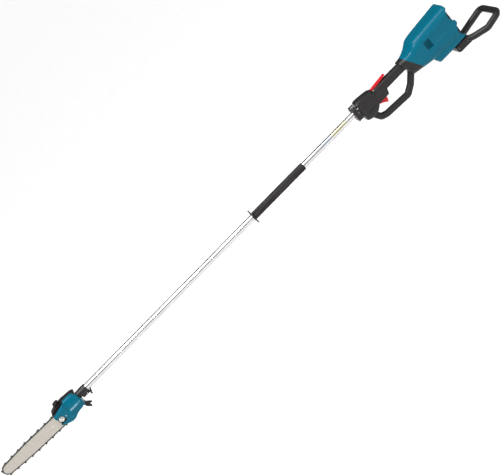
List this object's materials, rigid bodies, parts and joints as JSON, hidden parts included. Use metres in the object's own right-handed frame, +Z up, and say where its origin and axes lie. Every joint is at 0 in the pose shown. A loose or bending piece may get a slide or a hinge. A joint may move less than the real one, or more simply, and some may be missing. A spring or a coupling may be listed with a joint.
{
  "type": "telescoping pole saw",
  "caption": "Battery pole chainsaw: telescoping tube with guide bar and chain head, foam grip, trigger handle with hand loop, rear motor housing with open battery bays and foot guard.",
  "frame": {"origin": "on the pole axis, midway between the foam grip and the strap clamp", "axes": "+X along the pole from the saw head to the motor housing, +Z up with the trigger below, the bar on the -Y side"},
  "size_m": [2.7401, 0.1794, 0.2097],
  "materials": {
    "housing_plastic": "glossy teal-blue moulded plastic",
    "black_plastic": "fine-textured black moulded plastic",
    "red_plastic": "glossy red moulded plastic",
    "foam": "soft dark grey foam",
    "pole_metal": "bright extruded aluminium tube",
    "bar_steel": "brushed warm-grey steel",
    "chain_steel": "dark oiled steel",
    "bright_steel": "zinc-plated steel",
    "dark_steel": "black oxide steel",
    "cast_alloy": "cast alloy",
    "copper_core": "copper windings on a lacquered core",
    "circuit": "coated circuit board",
    "bearing_steel": "polished bearing steel",
    "bush_plastic": "self-lubricating plastic"
  },
  "bodies": {
    "rear_unit": {"housing_left": "housing_plastic", "housing_right": "housing_plastic", "nose_cover": "black_plastic", "battery_frame": "black_plastic", "battery_terminals": "bright_steel", "motor_controller": "circuit", "motor_stator": "copper_core", "motor_bearings": "bearing_steel", "motor_mount": "cast_alloy", "motor_end_bell": "cast_alloy", "handle_left": "black_plastic", "handle_right": "black_plastic", "hand_guard_loop": "black_plastic", "hinge_pins": "bright_steel", "switch_unit": "black_plastic", "power_button_spring": "bright_steel", "trigger_spring": "bright_steel", "lamp_board": "circuit", "outer_tube": "pole_metal", "foam_grip": "foam", "grip_flange": "black_plastic", "strap_clamp": "black_plastic", "strap_eye": "bright_steel", "unit_screws": "dark_steel", "shaft_bushes": "bush_plastic", "clamp_body": "black_plastic", "clamp_sleeve": "bush_plastic", "rear_guard": "black_plastic"},
    "rotor": {"motor_rotor": "dark_steel", "cooling_fan": "black_plastic", "rear_drive_shaft": "bright_steel"},
    "trigger": {"trigger": "red_plastic"},
    "lock_off_lever": {"lock_off_lever": "red_plastic"},
    "power_button": {"power_button": "black_plastic"},
    "lock_lever": {"lock_lever": "black_plastic"},
    "front_section": {"inner_tube": "pole_metal", "inner_tube_bushes": "bush_plastic", "gear_case": "black_plastic", "gear_case_cover": "black_plastic", "head_bearings": "bearing_steel", "head_screws": "dark_steel", "oil_tank": "black_plastic", "oil_pump": "bush_plastic", "sprocket_cover": "housing_plastic", "bar_stud_and_nut": "bright_steel", "branch_hook": "black_plastic"},
    "front_shaft": {"front_drive_shaft": "bright_steel", "pinion": "dark_steel"},
    "spindle": {"sprocket_spindle": "bright_steel", "crown_gear": "dark_steel", "drive_sprocket": "dark_steel"},
    "oil_cap": {"oil_cap": "black_plastic"},
    "tension_screw": {"tension_screw": "bright_steel"},
    "lead_screw": {"lead_screw": "bright_steel"},
    "guide_bar": {"guide_bar": "bar_steel", "tension_block": "dark_steel", "chain_drive_links": "chain_steel", "chain_straps_and_rivets": "chain_steel", "chain_cutters": "chain_steel"},
    "nose_sprocket": {"nose_sprocket": "dark_steel"}
  },
  "joints": [
    {"name": "telescope", "type": "slide", "parent": "rear_unit", "child": "front_section", "axis": [-1, 0, 0], "range_m": [0, 1.15]},
    {"name": "lock_lever_turn", "type": "hinge", "parent": "rear_unit", "child": "lock_lever", "pos_m": [-1.414, 0, -0.0188], "axis": [0, 1, 0], "range_deg": [0, 80]},
    {"name": "trigger_pull", "type": "hinge", "parent": "rear_unit", "child": "trigger", "pos_m": [0.249, 0, -0.038], "axis": [0, -1, 0], "range_deg": [0, 9], "stiffness_Nm_per_rad": 0.4, "springref_deg": -34.38},
    {"name": "lock_off_press", "type": "hinge", "parent": "rear_unit", "child": "lock_off_lever", "pos_m": [0.266, 0, 0.0195], "axis": [0, 1, 0], "range_deg": [0, 5], "stiffness_Nm_per_rad": 0.6, "springref_deg": -22.92},
    {"name": "power_press", "type": "slide", "parent": "rear_unit", "child": "power_button", "axis": [0, 0, -1], "range_m": [0, 0.0012], "stiffness_N_per_m": 300, "springref_m": -0.001, "deforming": ["power_button_spring"]},
    {"name": "rotor_spin", "type": "hinge", "parent": "rear_unit", "child": "rotor", "pos_m": [0, 0, 0], "axis": [1, 0, 0], "continuous": true},
    {"name": "front_shaft_spin", "type": "hinge", "parent": "front_section", "child": "front_shaft", "pos_m": [-1.45, 0, 0], "axis": [1, 0, 0], "continuous": true},
    {"name": "spindle_spin", "type": "hinge", "parent": "front_section", "child": "spindle", "pos_m": [-1.496, 0, 0], "axis": [0, 1, 0], "continuous": true},
    {"name": "nose_sprocket_spin", "type": "hinge", "parent": "guide_bar", "child": "nose_sprocket", "pos_m": [-1.84874, -0.028, 0.00255], "axis": [0, 1, 0], "continuous": true},
    {"name": "oil_cap_turn", "type": "hinge", "parent": "front_section", "child": "oil_cap", "pos_m": [-1.532, 0.005, 0.04], "axis": [0, 0, 1], "continuous": true},
    {"name": "tension_turn", "type": "hinge", "parent": "front_section", "child": "tension_screw", "pos_m": [-1.532, -0.03, -0.0082], "axis": [0, 1, 0], "range_deg": [0, 900]},
    {"name": "lead_turn", "type": "hinge", "parent": "front_section", "child": "lead_screw", "pos_m": [-1.55, -0.02, -0.0175], "axis": [1, 0, 0], "range_deg": [0, 900]},
    {"name": "bar_slide", "type": "slide", "parent": "front_section", "child": "guide_bar", "axis": [-1, 0, 0], "range_m": [0, 0.002]}
  ],
  "couplings": [
    {"joint": "front_shaft_spin", "follows": "rotor_spin", "ratio": 1},
    {"joint": "spindle_spin", "follows": "rotor_spin", "ratio": -0.5},
    {"joint": "nose_sprocket_spin", "follows": "rotor_spin", "ratio": -0.33333},
    {"joint": "tension_turn", "follows": "bar_slide", "rad_per_m": 7854},
    {"joint": "lead_turn", "follows": "bar_slide", "rad_per_m": 7854}
  ]
}
